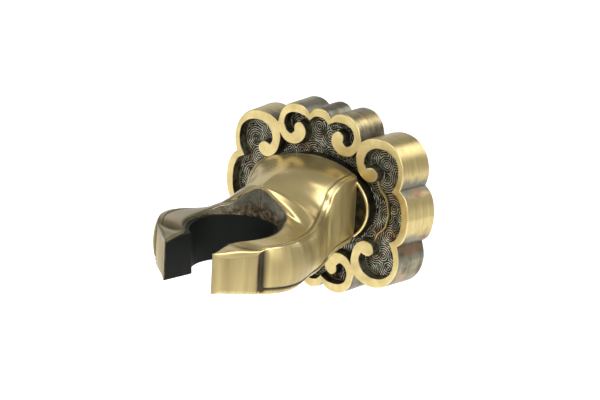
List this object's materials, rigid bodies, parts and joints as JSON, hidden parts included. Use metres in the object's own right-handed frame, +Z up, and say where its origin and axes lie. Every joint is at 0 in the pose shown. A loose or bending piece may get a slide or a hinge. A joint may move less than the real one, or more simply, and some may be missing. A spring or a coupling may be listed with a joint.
{
  "type": "hand shower wall holder",
  "caption": "Wall holder with an ornate scrolled backplate, a fixed sloping arm and an open C-shaped cradle lined with plastic, for the cone of a hand shower.",
  "frame": {"origin": "middle of the wall face, midway between the two wall screws", "axes": "+Z up, +Y into the wall, -Y into the room along the arm, +X across the backplate"},
  "size_m": [0.0704, 0.071, 0.0552],
  "materials": {
    "plate_brass": "aged, brushed, with a dark ground",
    "arm_brass": "aged and polished",
    "liner_plastic": "satin black",
    "bracket_steel": "zinc plated",
    "screw_steel": "plated"
  },
  "bodies": {
    "holder": {"backplate": "plate_brass", "holder_arm": "arm_brass", "cradle_liner": "liner_plastic", "wall_bracket": "bracket_steel", "arm_bolt": "screw_steel", "lock_washer": "screw_steel", "locating_pins": "screw_steel"},
    "lock_screw": {"set_screw": "screw_steel"}
  },
  "joints": [
    {"name": "set_screw_travel", "type": "slide", "parent": "holder", "child": "lock_screw", "axis": [0, 0, -1], "range_m": [0, 0.003]}
  ]
}
